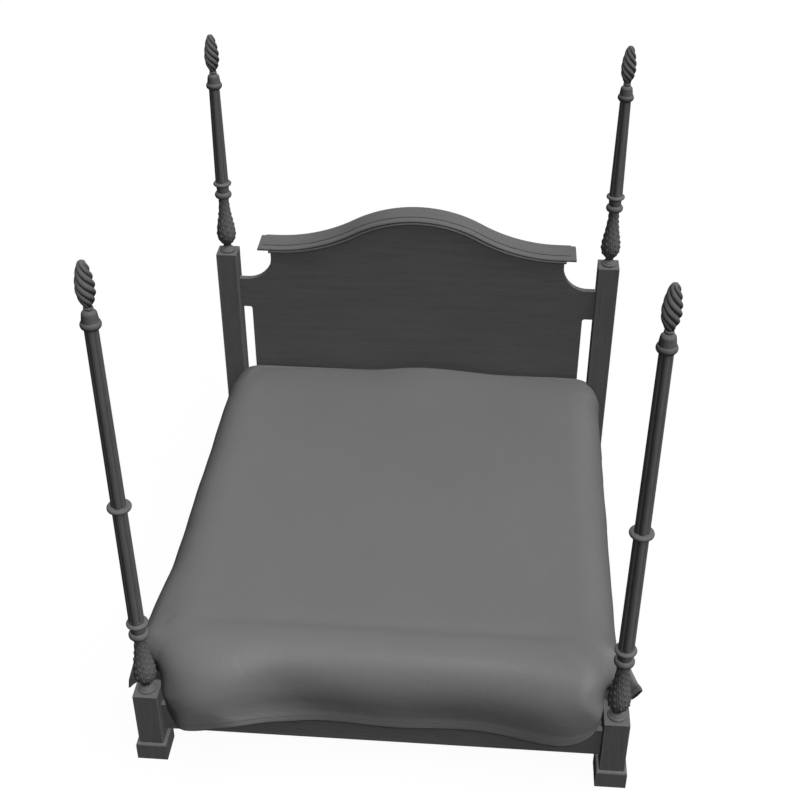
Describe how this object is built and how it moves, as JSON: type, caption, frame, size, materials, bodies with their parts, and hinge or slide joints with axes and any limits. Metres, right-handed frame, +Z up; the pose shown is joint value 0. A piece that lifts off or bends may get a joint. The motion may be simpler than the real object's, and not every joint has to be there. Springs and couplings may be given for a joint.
{
  "type": "carved bed",
  "caption": "Four-poster bed with carved turned posts, flame finials, an arched moulded headboard and a draped coverlet over a mattress on slats.",
  "frame": {"origin": "on the floor, at the middle of the four posts", "axes": "+X towards the right side seen from the foot, +Y from the foot towards the headboard, +Z up"},
  "size_m": [2.1148, 2.2887, 2.346],
  "materials": {
    "dark_wood": "satin",
    "plain_wood": "matte",
    "steel": "satin",
    "base_cloth": "matte",
    "ticking": "matte",
    "coverlet_cloth": "matte"
  },
  "bodies": {
    "bed": {"foot_left_plinth": "dark_wood", "foot_left_block": "dark_wood", "foot_left_vase": "dark_wood", "foot_left_lower_shaft": "dark_wood", "foot_left_mid_ring": "dark_wood", "foot_left_upper_shaft": "dark_wood", "foot_left_post_cap": "dark_wood", "foot_right_plinth": "dark_wood", "foot_right_block": "dark_wood", "foot_right_vase": "dark_wood", "foot_right_lower_shaft": "dark_wood", "foot_right_mid_ring": "dark_wood", "foot_right_upper_shaft": "dark_wood", "foot_right_post_cap": "dark_wood", "head_left_plinth": "dark_wood", "head_left_block": "dark_wood", "head_left_vase": "dark_wood", "head_left_shaft": "dark_wood", "head_left_post_cap": "dark_wood", "head_right_plinth": "dark_wood", "head_right_block": "dark_wood", "head_right_vase": "dark_wood", "head_right_shaft": "dark_wood", "head_right_post_cap": "dark_wood", "headboard_panel": "dark_wood", "cap_rail": "dark_wood", "bed_mould": "dark_wood", "head_rail": "dark_wood", "foot_rail": "dark_wood", "left_side_rail": "dark_wood", "right_side_rail": "dark_wood", "left_cleat": "plain_wood", "right_cleat": "plain_wood", "slat_1": "plain_wood", "slat_2": "plain_wood", "slat_3": "plain_wood", "slat_4": "plain_wood", "slat_5": "plain_wood", "slat_6": "plain_wood", "slat_7": "plain_wood", "slat_8": "plain_wood", "slat_9": "plain_wood", "slat_10": "plain_wood", "centre_beam": "plain_wood", "centre_leg_1": "plain_wood", "centre_leg_2": "plain_wood", "centre_leg_3": "plain_wood", "rail_hook_plates": "steel", "post_slot_plates": "steel", "beam_brackets": "steel", "base": "base_cloth", "mattress": "ticking", "coverlet": "coverlet_cloth"},
    "foot_left_finial": {"foot_left_finial": "dark_wood"},
    "foot_right_finial": {"foot_right_finial": "dark_wood"},
    "head_left_finial": {"head_left_finial": "dark_wood"},
    "head_right_finial": {"head_right_finial": "dark_wood"}
  },
  "joints": [
    {"name": "foot_left_finial_lift", "type": "slide", "parent": "bed", "child": "foot_left_finial", "axis": [0, 0, 1], "range_m": [0, 0.06]},
    {"name": "foot_right_finial_lift", "type": "slide", "parent": "bed", "child": "foot_right_finial", "axis": [0, 0, 1], "range_m": [0, 0.06]},
    {"name": "head_left_finial_lift", "type": "slide", "parent": "bed", "child": "head_left_finial", "axis": [0, 0, 1], "range_m": [0, 0.06]},
    {"name": "head_right_finial_lift", "type": "slide", "parent": "bed", "child": "head_right_finial", "axis": [0, 0, 1], "range_m": [0, 0.06]}
  ]
}
